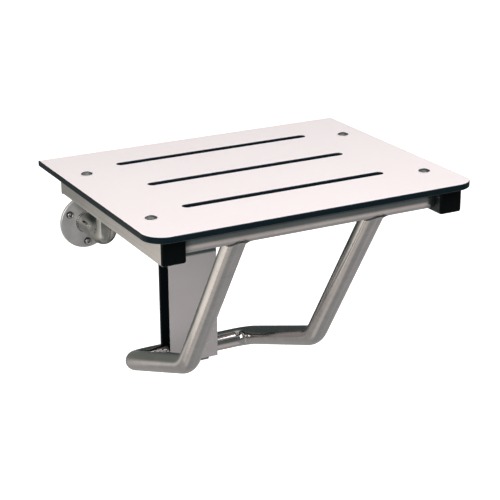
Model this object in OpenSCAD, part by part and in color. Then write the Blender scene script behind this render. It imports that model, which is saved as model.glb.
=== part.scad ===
// Fold-down wall seat: a laminate plate on a square tube frame that swings on two
// wall arms, held level by a bent tube leg whose foot bar slides in a wall guide.
// Millimetres, +Z up. The wall is the plane Y = 0 and the seat reaches towards -Y.
// The origin lies on the wall, midway between the centres of the two wall flanges.

/* [Seat plate] */
// Width of the plate
seat_w = 460; // [440:5:520]
// Depth of the plate, back to front
seat_d = 365; // [350:5:410]
// Thickness of the plate
seat_t = 8; // [6:0.5:12]
// Height of the plate's top face over the flange centres
seat_top = 112; // [106:1:130]
// Gap between the plate's back edge and the wall
seat_gap = 42; // [38:1:50]
// Radius of the two front corners
seat_corner_r = 27; // [10:1:40]
// Chamfer along the edges of the plate and the slots
seat_chamfer = 0.8; // [0.4:0.1:1.4]
// Thickness of each pale decor face
decor_t = 0.4; // [0.3:0.1:0.8]

/* [Drain slots] */
// Number of slots
slot_count = 3; // [1:1:5]
// Width of a slot
slot_w = 11; // [8:0.5:14]
// Distance of a slot's ends from the plate's side edges
slot_side_inset = 85.7; // [60:0.1:130]
// First slot's distance from the back edge
slot_back_inset = 69; // [60:1:80]
// Last slot's distance from the front edge
slot_front_inset = 93; // [60:1:110]

/* [Seat screws] */
// Diameter of the domed head
seat_screw_head_d = 15.5; // [12:0.5:18]
// Height of the domed head
seat_screw_head_h = 3.2; // [2:0.1:5]
// Diameter of the shank
seat_screw_d = 6; // [5:0.5:7]
// Rear screws' distance from the back edge
seat_screw_back_inset = 90; // [85:1:120]
// Front screws' distance from the front edge
seat_screw_front_inset = 72.5; // [68:0.5:110]

/* [Side rails] */
// Side of the square tube
rail_size = 32; // [30:0.5:36]
// Wall of the square tube
rail_wall = 1.6; // [1.2:0.1:2.5]
// Outer corner radius of the square tube
rail_corner_r = 2.8; // [2.6:0.1:4]
// Distance of the rails' outer faces from the plate's side edges
rail_side_inset = 18; // [14:0.5:30]
// Rear end's distance from the plate's back edge
rail_rear_inset = 34; // [28:1:36]
// Front end's distance from the plate's front edge
rail_front_inset = 9; // [4:1:12]
// Thickness of the steel plate that closes the rear end
rear_plate_t = 3; // [2:0.5:4]
// Thickness of the plastic cap's head
cap_head_t = 3.5; // [2:0.5:5]
// Side of the plastic cap's head
cap_head_size = 31; // [28:0.5:31]
// Radius of the cap's front upright edges
cap_edge_r = 2.4; // [0.5:0.1:2.4]

/* [Tubes] */
// Outer diameter of the bent tubes
tube_d = 25.4; // [22:0.2:25.6]
// How much wider the cross tubes are, so that the bent tubes can be coped to them
bar_extra_d = 0.6; // [0.4:0.1:3]
// Wall of the round tubes
tube_wall = 1.6; // [1.2:0.1:2.4]

/* [Wall arms] */
// Distance of an arm's centre line from the end of the pivot cross tube
arm_inset = 22.7; // [18:0.1:40]
// Distance of the seat pivot from the wall
pivot_out = 81; // [79:1:84]
// Centre line radius of the arm's bend
arm_bend_r = 20; // [18:1:40]
// Diameter of a flange
flange_d = 76.2; // [74:0.2:90]
// Thickness of a flange
flange_t = 4.8; // [3:0.2:6]
// Distance of the flange screws' centres from the rim
flange_screw_inset = 9.5; // [8:0.1:11]
// Screws in a flange
flange_screw_count = 3; // [3:1:4]
// Size of the weld round the arm's foot
weld_size = 2.2; // [1:0.1:3]

/* [Pivots] */
// Diameter of the pivot pins
pin_d = 14; // [10:0.5:16]
// Radial clearance of a pin in its bush
pin_clear = 0.05; // [0.02:0.01:0.1]
// Thickness of the plates that hold the rear pins
lug_t = 5; // [3:0.5:6]
// Length of these plates ahead of the pin
lug_l = 48; // [30:1:80]
// Thickness of a bush's flange or washer
washer_t = 1.6; // [1:0.1:2.5]
// Length of a bush or plug inside a cross tube
bush_l = 24; // [15:1:35]
// Gap between faces that turn on each other
face_clear = 0.3; // [0.2:0.05:0.5]

/* [Leg] */
// Front crossbar's distance from the plate's front edge
bar_inset = 36.6; // [34:0.2:50]
// Distance between the centre lines of the leg's two sides
leg_spacing = 197.2; // [160:0.4:240]
// Elbow's distance from the wall
elbow_out = 221.8; // [200:1:235]
// Elbow's depth below the flange centres
elbow_drop = 145.2; // [130:1:160]
// Centre line radius of the elbow
elbow_r = 55; // [35:1:90]
// Foot bar's depth below the flange centres
foot_drop = 221; // [205:1:235]
// Centre line radius where the tube turns inwards to the foot bar
foot_r = 27; // [20:1:40]

/* [Wall guide] */
// Width of the guide bracket
guide_w = 78; // [74:1:96]
// Sheet thickness of the bracket
guide_sheet = 1.5; // [1:0.1:2.5]
// Outer bend radius at the top front
guide_bend_r = 9; // [5:0.5:11]
// Outer bend radius at the wall
guide_back_r = 3; // [2.6:0.1:5]
// Front plate's reach below the foot bar's centre
guide_below = 15; // [10:0.5:15.5]
// Thickness of the slide liner
liner_t = 5; // [3:0.5:6]
// Wall of the sleeve on the foot bar
sleeve_wall = 1.3; // [1:0.1:3]
// Sleeve's clearance to the liner and to the front plate
sleeve_clear = 0.2; // [0.1:0.05:0.5]
// Distance of the stop's sides from the bracket's sides
stop_side_inset = 13.3; // [5:0.1:20]
// Distance of the stop's front edge behind the bracket's front face
stop_front_inset = 3.4; // [2:0.1:8]
// Thickness of the stop's pad
stop_pad_t = 3.9; // [2:0.1:6]
// Gap between the retaining leaf spring and the bracket's top bend
spring_bend_gap = 0.2; // [0.1:0.1:1]
// Thickness of the retaining leaf spring
spring_t = 0.8; // [0.5:0.1:1.2]
// Depth of the spring's bow, which ends just above the folded foot bar
spring_sag = 12.55; // [9:0.05:16]
// Distance of the spring's ends from the bracket's sides
spring_side_inset = 4; // [3:0.5:8]
// Distance of the guide screws from the bracket's sides
guide_screw_side_inset = 16; // [13:0.5:20]
// Distance of the upper guide screws below the bracket's top
guide_screw_top_inset = 34; // [30:1:50]
// Distance of the lower guide screws above the bracket's lower edge
guide_screw_low_inset = 29; // [24:1:40]

/* [Wall screws] */
// Diameter of the wall screws' threaded length
wall_screw_d = 6; // [5:0.5:6.5]
// Diameter of the wall screws' necks, in the flange or the guide
wall_neck_d = 5.2; // [4.4:0.1:5.4]
// Diameter of the flange screws' heads
wall_head_d = 10.4; // [9:0.2:12]
// Height of the flange screws' heads
wall_head_h = 4.2; // [3:0.1:6]
// Diameter of the guide screws' countersunk heads
guide_head_d = 10.8; // [9:0.2:11.4]
// Width across flats of the heads' sockets
socket_w = 4; // [3:0.5:5]
// Reach of the wall screws behind the wall's face
wall_screw_reach = 30; // [20:1:50]

/* [Hidden] */
$fn = 64;
// Overrun of cuts
over = 1;
// Radial clearance of a screw in its hole
screw_clear = 0.3;
// A bend is this much fuller than the straight runs, which reach this far into it
bend_step = 0.05;
run_lap = 0.5;
// Colours
steel = [0.66, 0.64, 0.62];
bright_steel = [0.78, 0.77, 0.76];
dark_plastic = [0.04, 0.05, 0.06];
nylon = [0.85, 0.84, 0.78];
// Seat plate
seat_back_y = -seat_gap;
seat_front_y = seat_back_y - seat_d;
seat_under = seat_top - seat_t;
seat_screw_y = [seat_back_y - seat_screw_back_inset, seat_front_y + seat_screw_front_inset];
slot_l = seat_w - 2 * slot_side_inset;
slot_pitch = (seat_d - slot_back_inset - slot_front_inset) / max(1, slot_count - 1);
// Side rails
rail_x = seat_w / 2 - rail_side_inset - rail_size / 2;
rail_z = seat_under - rail_size / 2;
rail_inner_x = rail_x - rail_size / 2;
rail_rear_y = seat_back_y - rail_rear_inset;
rail_front_y = seat_front_y + rail_front_inset + cap_head_t;
rail_bore = rail_size - 2 * rail_wall;
rail_bore_r = rail_corner_r - rail_wall;
// Width across flats and height of the nuts welded inside the rails
weld_nut_w = 10;
weld_nut_h = 5;
// Length, wall, grip ribs and side play of the part of a cap that sits in the tube
cap_insert_gap = 1;
cap_insert_wall = 2.2;
cap_rib = 1.4;
cap_play = 0.3;
// Pivots: the seat turns about the cross tube on the wall arms
pivot_y = -pivot_out;
pivot_z = rail_z;
tube_r = tube_d / 2;
bar_r = tube_r + bar_extra_d / 2;
bar_bore_r = bar_r - tube_wall;
tube_bore_r = tube_r - tube_wall;
pin_r = pin_d / 2;
lug_r = rail_size / 2 - rail_corner_r;
lug_inner_x = rail_inner_x - lug_t;
cross_tube_end = lug_inner_x - face_clear - washer_t;
arm_x = cross_tube_end - arm_inset;
// The strut's and arm's ends start this far from the cross tube's centre line
cope_start = sqrt(bar_r * bar_r - tube_r * tube_r) / 2;
// Front crossbar
bar_y = seat_front_y + bar_inset;
bar_z = rail_z;
bar_end = rail_inner_x - washer_t - face_clear;
front_pin_end = rail_x + rail_bore / 2 - rail_wall * 2;
// Wall guide and foot bar
liner_y = -guide_sheet - liner_t;
sleeve_r = tube_r + sleeve_wall;
foot_y = liner_y - sleeve_clear - sleeve_r;
guide_out = sleeve_r + sleeve_clear + guide_sheet - foot_y;
foot_z = -foot_drop;
slider_end = guide_w / 2 + face_clear;
foot_end = slider_end + face_clear;
guide_bottom = foot_z - guide_below;
stop_w = guide_w - 2 * stop_side_inset;
stop_out = guide_out - stop_front_inset;
stop_pad_top = foot_z - sleeve_r - face_clear;
stop_shelf_top = stop_pad_top - stop_pad_t;
leg_x = leg_spacing / 2;
// Leg: the strut runs from the crossbar to the elbow, the arm from there to the foot bar
strut = [-elbow_out - bar_y, -elbow_drop - bar_z];
arm = [foot_y + elbow_out, foot_z + elbow_drop];
strut_l = norm(strut);
arm_l = norm(arm);
strut_tilt = atan2(-strut[0], strut[1]);
elbow_angle = acos(strut * arm / (strut_l * arm_l));
elbow_setback = elbow_r * tan(elbow_angle / 2);
// Linkage: the foot bar's height when the seat is folded up
leg_reach = norm([foot_y - bar_y, foot_z - bar_z]);
seat_reach = pivot_y - bar_y;
foot_z_folded = pivot_z + seat_reach - sqrt(pow(leg_reach, 2) - pow(foot_y - pivot_y, 2));
slide_travel = foot_z_folded - foot_z;
leg_angle_rest = atan2(foot_y - bar_y, bar_z - foot_z);
leg_angle_folded = asin((foot_y - pivot_y) / leg_reach);
leg_swing_range = 90 - leg_angle_rest + leg_angle_folded;
// Top of the bracket, over the folded foot bar and the retaining spring
web_under = foot_z_folded + sleeve_r + face_clear + spring_sag;
guide_top = web_under + guide_sheet;
spring_w = 2 * (guide_out - guide_bend_r - spring_bend_gap + foot_y);
spring_tab = 8;
spring_span = guide_w - 2 * spring_side_inset - 2 * spring_tab;
spring_r = (pow(spring_span / 2, 2) + pow(spring_sag, 2)) / (2 * spring_sag);
// Rivets of the spring and of the stop
rivet_d = 4;
rivet_head_d = 7;
rivet_head_h = 1.8;
rivet_tail = 1;
spring_rivet_x = spring_span / 2 + spring_tab / 2;
stop_rivet_x = stop_w / 3;
stop_rivet_y = (foot_y - stop_out) / 2;
stop_rivet_grip = 2;
// Countersunk heads of the guide screws, sunk a little below the liner's face
guide_socket_share = 0.8;
guide_head_h = (guide_head_d - wall_neck_d) / 2;
guide_head_sink = 0.3;
guide_screw_x = guide_w / 2 - guide_screw_side_inset;
guide_screw_z = [guide_top - guide_screw_top_inset, guide_bottom + guide_screw_low_inset];
// Tapered points and socket depth of the wall screws
point_l = wall_screw_d;
point_share = 0.25;
socket_depth = wall_head_h / 2;
// Rim of a flange
flange_rim = 0.8;

echo(slide_travel = slide_travel, leg_swing_range = leg_swing_range, guide_top = guide_top,
     guide_screw_z = guide_screw_z, foot_y = foot_y, bar_y = bar_y, pivot_z = pivot_z, arm_x = arm_x);

// Shared shapes

module ring(outer_r, inner_r) {
    difference() {
        circle(r = outer_r);
        circle(r = inner_r);
    }
}

// A bent tube that starts at the origin along +Z, as a tube bender makes it: a straight
// run, a roll about the tube's own axis, a bend towards the rolled +X, and the next run
module bent_tube(runs, rolls, angles, bend_radii, outer_r, inner_r, i = 0) {
    bent = i < len(angles);
    lap_in = i > 0 ? run_lap : 0;
    lap_out = bent ? run_lap : 0;
    translate([0, 0, -lap_in]) linear_extrude(lap_in + runs[i] + lap_out)
        ring(outer_r, inner_r);
    if (bent)
        translate([0, 0, runs[i]]) rotate([0, 0, rolls[i]]) {
            translate([bend_radii[i], 0, 0]) rotate([90, 0, 180])
                rotate_extrude(angle = angles[i])
                    translate([bend_radii[i], 0]) ring(outer_r + bend_step, inner_r - bend_step);
            translate([bend_radii[i], 0, 0]) rotate([0, angles[i], 0])
                translate([-bend_radii[i], 0, 0])
                    bent_tube(runs, rolls, angles, bend_radii, outer_r, inner_r, i + 1);
        }
}

// A cylinder along X, centred on x = 0
module bar_along_x(y, z, length, r) {
    translate([0, y, z]) rotate([0, 90, 0]) cylinder(h = length, r = r, center = true);
}

module both_sides() {
    children();
    mirror([1, 0, 0]) children();
}

module rounded_square(size, r) {
    square([size, size - 2 * r], center = true);
    square([size - 2 * r, size], center = true);
    for (x = [-1, 1], y = [-1, 1])
        translate([x, y] * (size / 2 - r)) circle(r = r);
}

// A low dome that stands on z = 0
module dome(d, h) {
    r = (d * d / 4 + h * h) / (2 * h);
    intersection() {
        translate([0, 0, h - r]) sphere(r = r);
        cylinder(h = h + over, d = d);
    }
}

// Turns a shape that stands on z = 0 so that it stands out from the wall
module on_wall(x, y, z) {
    translate([x, y, z]) rotate([90, 0, 0]) children();
}

// Seat plate

module plate_outline() {
    r = seat_corner_r;
    translate([-seat_w / 2, seat_front_y + r]) square([seat_w, seat_d - r]);
    translate([-seat_w / 2 + r, seat_front_y]) square([seat_w - 2 * r, r]);
    for (side = [-1, 1])
        translate([side * (seat_w / 2 - r), seat_front_y + r]) circle(r = r);
}

// Section of the cut along an edge, with the edge's corner at the origin
module chamfer_section() {
    c = seat_chamfer;
    polygon([[-c, 0], [0, -c], [over, -c], [over, over], [-c, over]]);
}

// The cut round the plate's top edge, at z = 0
module edge_cut() {
    r = seat_corner_r;
    both_sides() {
        translate([seat_w / 2, seat_back_y + over, 0]) rotate([90, 0, 0])
            linear_extrude(seat_d - r + over) chamfer_section();
        translate([seat_w / 2 - r, seat_front_y + r, 0]) rotate([0, 0, -90])
            rotate_extrude(angle = 90) translate([r, 0]) chamfer_section();
    }
    translate([seat_w / 2 - r, seat_front_y, 0]) rotate([90, 0, -90])
        linear_extrude(seat_w - 2 * r) chamfer_section();
    translate([-seat_w / 2 - over, seat_back_y, 0]) rotate([90, 0, 90])
        linear_extrude(seat_w + 2 * over) chamfer_section();
}

module slot_outline(w) {
    straight = slot_l - slot_w;
    square([straight, w], center = true);
    for (side = [-1, 1])
        translate([side * straight / 2, 0]) circle(d = w);
}

// The widening cut at one face of a slot, from z = 0 upwards
module slot_mouth() {
    straight = slot_l - slot_w;
    deep = seat_chamfer + over;
    narrow = slot_w / 2;
    wide = narrow + deep;
    for (side = [-1, 1])
        translate([side * straight / 2, 0, 0]) cylinder(h = deep, r1 = narrow, r2 = wide);
    translate([-straight / 2, 0, 0]) rotate([90, 0, 90]) linear_extrude(straight)
        polygon([[-narrow, 0], [narrow, 0], [wide, deep], [-wide, deep]]);
}

module plate() {
    difference() {
        translate([0, 0, seat_under]) linear_extrude(seat_t) plate_outline();
        translate([0, 0, seat_top]) edge_cut();
        translate([0, 0, seat_under]) mirror([0, 0, 1]) edge_cut();
        for (i = [0 : slot_count - 1])
            translate([0, seat_back_y - slot_back_inset - i * slot_pitch, 0]) {
                translate([0, 0, seat_under - over]) linear_extrude(seat_t + 2 * over)
                    slot_outline(slot_w);
                translate([0, 0, seat_top - seat_chamfer]) slot_mouth();
                translate([0, 0, seat_under + seat_chamfer]) mirror([0, 0, 1]) slot_mouth();
            }
        at_seat_screws() translate([0, 0, seat_under - over])
            cylinder(h = seat_t + 2 * over, d = seat_screw_d + 2 * screw_clear);
    }
}

// The layer of the plate between two heights
module plate_layer(low, high) {
    intersection() {
        plate();
        translate([-seat_w / 2 - over, seat_front_y - over, low])
            cube([seat_w + 2 * over, seat_d + 2 * over, high - low]);
    }
}

module seat_core() {
    color(dark_plastic) plate_layer(seat_under + decor_t, seat_top - decor_t);
}

module seat_face_top() {
    color("seashell") plate_layer(seat_top - decor_t, seat_top);
}

module seat_face_bottom() {
    color("seashell") plate_layer(seat_under, seat_under + decor_t);
}

module at_seat_screws() {
    for (side = [-1, 1], y = seat_screw_y)
        translate([side * rail_x, y, 0]) children();
}

module seat_screws() {
    color(bright_steel) at_seat_screws() {
        translate([0, 0, seat_top]) dome(seat_screw_head_d, seat_screw_head_h);
        shank = seat_t + rail_wall + weld_nut_h;
        translate([0, 0, seat_top - shank]) cylinder(h = shank, d = seat_screw_d);
    }
}

module rail_weld_nuts() {
    color(steel) at_seat_screws()
        translate([0, 0, seat_under - rail_wall - weld_nut_h]) difference() {
            cylinder(h = weld_nut_h, d = weld_nut_w / cos(30), $fn = 6);
            translate([0, 0, -over]) cylinder(h = weld_nut_h + 2 * over, d = seat_screw_d);
        }
}

// Side rails

module rail() {
    start = rail_rear_y - rear_plate_t;
    color(steel) difference() {
        translate([rail_x, start, rail_z]) rotate([90, 0, 0])
            linear_extrude(start - rail_front_y) difference() {
                rounded_square(rail_size, rail_corner_r);
                rounded_square(rail_bore, rail_bore_r);
            }
        for (y = seat_screw_y)
            translate([rail_x, y, seat_under - rail_wall - over])
                cylinder(h = rail_wall + 2 * over, d = seat_screw_d + 2 * screw_clear);
        translate([rail_inner_x - over, bar_y, bar_z]) rotate([0, 90, 0])
            cylinder(h = rail_wall + 2 * over, d = pin_d + 2 * washer_t);
    }
}

module rail_left() {
    mirror([1, 0, 0]) rail();
}

module rail_right() {
    rail();
}

// The closing plate's lower rear edge is rounded over its whole thickness
module rail_rear_caps() {
    color(steel) both_sides()
        translate([rail_inner_x, rail_rear_y - rear_plate_t, rail_z - rail_size / 2])
            rotate([90, 0, 90]) linear_extrude(rail_size) {
                translate([0, rear_plate_t]) square([rear_plate_t, rail_size - rear_plate_t]);
                intersection() {
                    translate([0, rear_plate_t]) circle(r = rear_plate_t);
                    square([rear_plate_t, rear_plate_t]);
                }
            }
}

module end_cap() {
    insert = bar_y - rail_bore / 2 - rail_front_y - cap_insert_gap;
    core_size = rail_bore - 2 * cap_play;
    color(dark_plastic) {
        translate([rail_x, rail_front_y - cap_head_t, rail_z - cap_head_size / 2])
            linear_extrude(cap_head_size) cap_head_outline();
        on_wall(rail_x, rail_front_y + insert, rail_z) linear_extrude(insert) difference() {
            rounded_square(core_size, rail_bore_r);
            rounded_square(core_size - 2 * cap_insert_wall, rail_bore_r);
        }
        for (step = [1, 3])
            on_wall(rail_x, rail_front_y + insert * step / 4 + cap_rib / 2, rail_z)
                linear_extrude(cap_rib) difference() {
                    rounded_square(rail_bore, rail_bore_r);
                    rounded_square(core_size - cap_play, rail_bore_r);
                }
    }
}

// The outline of the cap's head seen from above, rounded at its two front edges
module cap_head_outline() {
    half = cap_head_size / 2;
    r = cap_edge_r;
    translate([-half, r]) square([cap_head_size, cap_head_t - r]);
    translate([-half + r, 0]) square([cap_head_size - 2 * r, r]);
    intersection() {
        translate([-half, 0]) square([cap_head_size, r]);
        for (side = [-1, 1])
            translate([side * (half - r), r]) circle(r = r);
    }
}

module end_cap_left() {
    mirror([1, 0, 0]) end_cap();
}

module end_cap_right() {
    end_cap();
}

// Rear pivot

module pivot_lugs() {
    color(steel) both_sides() translate([lug_inner_x, pivot_y, pivot_z])
        rotate([90, 0, 90]) linear_extrude(lug_t) difference() {
            union() {
                circle(r = lug_r);
                translate([-lug_l + lug_r, 0]) circle(r = lug_r);
                translate([-lug_l + lug_r, -lug_r]) square([lug_l - lug_r, 2 * lug_r]);
            }
            circle(r = pin_r);
        }
}

module pivot_pins() {
    color(bright_steel) both_sides()
        translate([cross_tube_end - bush_l, pivot_y, pivot_z]) rotate([0, 90, 0])
            cylinder(h = rail_inner_x - cross_tube_end + bush_l, r = pin_r);
}

module pivot_cross_tube() {
    color(steel) difference() {
        bar_along_x(pivot_y, pivot_z, 2 * cross_tube_end, bar_r);
        bar_along_x(pivot_y, pivot_z, 2 * cross_tube_end + 2 * over, bar_bore_r);
    }
}

module pivot_bushes() {
    color(nylon) both_sides()
        translate([cross_tube_end - bush_l, pivot_y, pivot_z]) rotate([0, 90, 0]) difference() {
            union() {
                cylinder(h = bush_l, r = bar_bore_r);
                translate([0, 0, bush_l]) cylinder(h = washer_t, r = bar_r);
            }
            translate([0, 0, -over])
                cylinder(h = bush_l + washer_t + 2 * over, r = pin_r + pin_clear);
        }
}

// Wall arms

module wall_arm() {
    runs = [pivot_out - flange_t - arm_bend_r, pivot_z - arm_bend_r - cope_start];
    color(steel) difference() {
        on_wall(arm_x, -flange_t, 0)
            bent_tube(runs, [90], [90], [arm_bend_r], tube_r, tube_bore_r);
        bar_along_x(pivot_y, pivot_z, 2 * cross_tube_end, bar_r);
    }
}

module wall_arm_left() {
    mirror([1, 0, 0]) wall_arm();
}

module wall_arm_right() {
    wall_arm();
}

// Turning the pattern puts one screw at the bottom and leaves the top open for the tool
module at_flange_screws() {
    for (i = [0 : flange_screw_count - 1])
        rotate([0, 0, -90 + i * 360 / flange_screw_count])
            translate([flange_d / 2 - flange_screw_inset, 0, 0]) children();
}

module flange() {
    r = flange_d / 2;
    color(steel) on_wall(arm_x, 0, 0) difference() {
        union() {
            cylinder(h = flange_t - flange_rim, r = r);
            translate([0, 0, flange_t - flange_rim])
                cylinder(h = flange_rim, r1 = r, r2 = r - flange_rim);
            rotate_extrude() translate([tube_r, flange_t])
                polygon([[0, 0], [weld_size, 0], [0, weld_size]]);
        }
        at_flange_screws() translate([0, 0, -over])
            cylinder(h = flange_t + 2 * over, d = wall_screw_d + 2 * screw_clear);
    }
}

module flange_left() {
    mirror([1, 0, 0]) flange();
}

module flange_right() {
    flange();
}

// A screw's threaded length behind the wall's face, with its point, and its neck out to a height
module wall_shank(height) {
    translate([0, 0, -wall_screw_reach + point_l])
        cylinder(h = wall_screw_reach - point_l, d = wall_screw_d);
    translate([0, 0, -wall_screw_reach])
        cylinder(h = point_l, d1 = wall_screw_d * point_share, d2 = wall_screw_d);
    cylinder(h = height, d = wall_neck_d);
}

module flange_screws() {
    color(bright_steel) both_sides() on_wall(arm_x, 0, 0) at_flange_screws() {
        wall_shank(flange_t);
        translate([0, 0, flange_t]) difference() {
            dome(wall_head_d, wall_head_h);
            translate([0, 0, wall_head_h - socket_depth])
                cylinder(h = socket_depth + over, d = socket_w / cos(30), $fn = 6);
        }
    }
}

// Wall guide

module guide_section() {
    difference() {
        guide_outline(0, guide_bottom);
        guide_outline(guide_sheet, guide_bottom - over);
    }
}

// The outline of the folded sheet, or of the space inside it, with two round upper corners
module guide_outline(inset, low) {
    front = guide_out - inset;
    top = guide_top - inset;
    front_r = guide_bend_r - inset;
    back_r = guide_back_r - inset;
    difference() {
        translate([inset, low]) square([front - inset, top - low]);
        translate([front - front_r, top - front_r]) square([front_r + over, front_r + over]);
        translate([inset - over, top - back_r]) square([back_r + over, back_r + over]);
    }
    translate([front - front_r, top - front_r]) circle(r = front_r);
    translate([inset + back_r, top - back_r]) circle(r = back_r);
}

// The tongue below the back of the guide that bends forward under the foot bar
module stop_section() {
    low = stop_shelf_top - guide_sheet;
    r = guide_back_r;
    difference() {
        union() {
            translate([0, low + r]) square([guide_sheet, guide_bottom - low - r]);
            translate([r, low]) square([stop_out - r, guide_sheet]);
            intersection() {
                translate([r, low + r]) circle(r = r);
                translate([0, low]) square([r, r]);
            }
        }
        intersection() {
            translate([r, low + r]) circle(r = r - guide_sheet);
            translate([0, low]) square([r, r]);
        }
    }
}

module at_guide_screws() {
    for (side = [-1, 1], z = guide_screw_z)
        on_wall(side * guide_screw_x, 0, z) children();
}

// Turns a section drawn as (distance from the wall, height) into a shape along X
module across_guide(width) {
    translate([width / 2, 0, 0]) rotate([90, 0, -90]) linear_extrude(width) children();
}

module guide_bracket() {
    color(steel) difference() {
        union() {
            across_guide(guide_w) guide_section();
            across_guide(stop_w) stop_section();
        }
        at_guide_screws() translate([0, 0, -over])
            cylinder(h = guide_sheet + 2 * over, d = wall_screw_d + 2 * screw_clear);
        for (x = [-1, 1])
            translate([x * spring_rivet_x, foot_y, web_under - over])
                cylinder(h = guide_sheet + 2 * over, d = rivet_d);
        for (x = [-1, 1])
            translate([x * stop_rivet_x, stop_rivet_y, stop_shelf_top - guide_sheet - over])
                cylinder(h = guide_sheet + 2 * over, d = rivet_d);
    }
}

module guide_liner() {
    top = guide_top - guide_back_r;
    color(dark_plastic) difference() {
        translate([-guide_w / 2, liner_y, guide_bottom])
            cube([guide_w, liner_t, top - guide_bottom]);
        at_guide_screws() {
            cylinder(h = over - liner_y, d = wall_screw_d + 2 * screw_clear);
            head_cone();
        }
    }
}

// The countersunk head, flush below the liner's face, and its seat up to that face
module head_cone() {
    top = -liner_y - guide_head_sink;
    translate([0, 0, top - guide_head_h])
        cylinder(h = guide_head_h, d1 = wall_neck_d, d2 = guide_head_d);
    translate([0, 0, top]) cylinder(h = guide_head_sink + over, d = guide_head_d);
}

module guide_screws() {
    top = -liner_y - guide_head_sink;
    color(bright_steel) at_guide_screws() difference() {
        union() {
            wall_shank(top - guide_head_h);
            translate([0, 0, top - guide_head_h])
                cylinder(h = guide_head_h, d1 = wall_neck_d, d2 = guide_head_d);
        }
        translate([0, 0, top - guide_head_h * guide_socket_share])
            cylinder(h = guide_head_h, d = socket_w / cos(30), $fn = 6);
    }
}

module retaining_spring() {
    half = spring_span / 2;
    end = half + spring_tab;
    color(bright_steel) difference() {
        union() {
            intersection() {
                translate([0, foot_y, web_under - spring_sag + spring_r]) rotate([90, 0, 0])
                    linear_extrude(spring_w, center = true) ring(spring_r, spring_r - spring_t);
                translate([-half, foot_y - spring_w / 2, web_under - spring_sag - over])
                    cube([spring_span, spring_w, spring_sag + over]);
            }
            both_sides() translate([half - spring_t, foot_y - spring_w / 2, web_under - spring_t])
                cube([spring_tab + spring_t, spring_w, spring_t]);
        }
        translate([-spring_rivet_x, foot_y, web_under - spring_t - over])
            cylinder(h = spring_t + 2 * over, d = rivet_d);
        translate([spring_rivet_x, foot_y, web_under - spring_t - over])
            linear_extrude(spring_t + 2 * over) {
                circle(d = rivet_d);
                translate([0, -rivet_d / 2]) square([end - spring_rivet_x + over, rivet_d]);
            }
    }
}

// A rivet through a sheet whose outer face is z = 0, its head outside
module rivet(grip) {
    dome(rivet_head_d, rivet_head_h);
    translate([0, 0, -grip]) cylinder(h = grip, d = rivet_d);
}

module spring_rivets() {
    color(bright_steel) for (x = [-1, 1])
        translate([x * spring_rivet_x, foot_y, guide_top]) {
            rivet(guide_sheet + spring_t);
            translate([0, 0, -guide_sheet - spring_t]) mirror([0, 0, 1])
                cylinder(h = rivet_tail, d = rivet_head_d - rivet_tail);
        }
}

module stop_pad() {
    color(dark_plastic) difference() {
        translate([-stop_w / 2, -stop_out, stop_shelf_top])
            cube([stop_w, stop_out + liner_y, stop_pad_t]);
        for (x = [-1, 1])
            translate([x * stop_rivet_x, stop_rivet_y, stop_shelf_top - over])
                cylinder(h = stop_rivet_grip + over, d = rivet_d);
    }
}

module stop_rivets() {
    color(bright_steel) for (x = [-1, 1])
        translate([x * stop_rivet_x, stop_rivet_y, stop_shelf_top - guide_sheet])
            mirror([0, 0, 1]) rivet(guide_sheet + stop_rivet_grip);
}

// Leg

module front_bush_blocks() {
    color(nylon) both_sides() difference() {
        on_wall(rail_x, bar_y + rail_bore / 2, bar_z) linear_extrude(rail_bore)
            rounded_square(rail_bore, rail_bore_r);
        translate([rail_x - rail_bore / 2 - over, bar_y, bar_z]) rotate([0, 90, 0])
            cylinder(h = rail_bore + 2 * over, r = pin_r + pin_clear);
    }
}

module front_thrust_washers() {
    color(nylon) both_sides() translate([rail_inner_x - washer_t, bar_y, bar_z])
        rotate([0, 90, 0]) difference() {
            cylinder(h = washer_t, r = bar_r);
            translate([0, 0, -over]) cylinder(h = washer_t + 2 * over, r = pin_r + face_clear);
        }
}

module front_crossbar() {
    color(steel) difference() {
        bar_along_x(bar_y, bar_z, 2 * bar_end, bar_r);
        bar_along_x(bar_y, bar_z, 2 * bar_end + 2 * over, bar_bore_r);
    }
}

module front_pivot_pins() {
    color(bright_steel) both_sides()
        translate([bar_end - bush_l, bar_y, bar_z]) rotate([0, 90, 0]) {
            cylinder(h = bush_l, r = bar_bore_r);
            cylinder(h = front_pin_end - bar_end + bush_l, r = pin_r);
        }
}

module leg_tube() {
    runs = [strut_l - cope_start - elbow_setback, arm_l - elbow_setback - foot_r,
            leg_x - foot_r - foot_end];
    color(steel) difference() {
        translate([leg_x, bar_y, bar_z]) rotate([strut_tilt, 0, 0])
            translate([0, 0, cope_start])
                bent_tube(runs, [-90, -90], [elbow_angle, 90], [elbow_r, foot_r],
                    tube_r, tube_bore_r);
        bar_along_x(bar_y, bar_z, 2 * bar_end, bar_r);
    }
}

module leg_tube_left() {
    mirror([1, 0, 0]) leg_tube();
}

module leg_tube_right() {
    leg_tube();
}

// Foot bar inside the guide

module slider_tube() {
    color(steel) difference() {
        bar_along_x(foot_y, foot_z, 2 * slider_end, tube_r);
        bar_along_x(foot_y, foot_z, 2 * slider_end + 2 * over, tube_bore_r);
    }
}

module wear_sleeve() {
    color(dark_plastic) difference() {
        bar_along_x(foot_y, foot_z, guide_w, sleeve_r);
        bar_along_x(foot_y, foot_z, guide_w + 2 * over, tube_r);
    }
}

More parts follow.
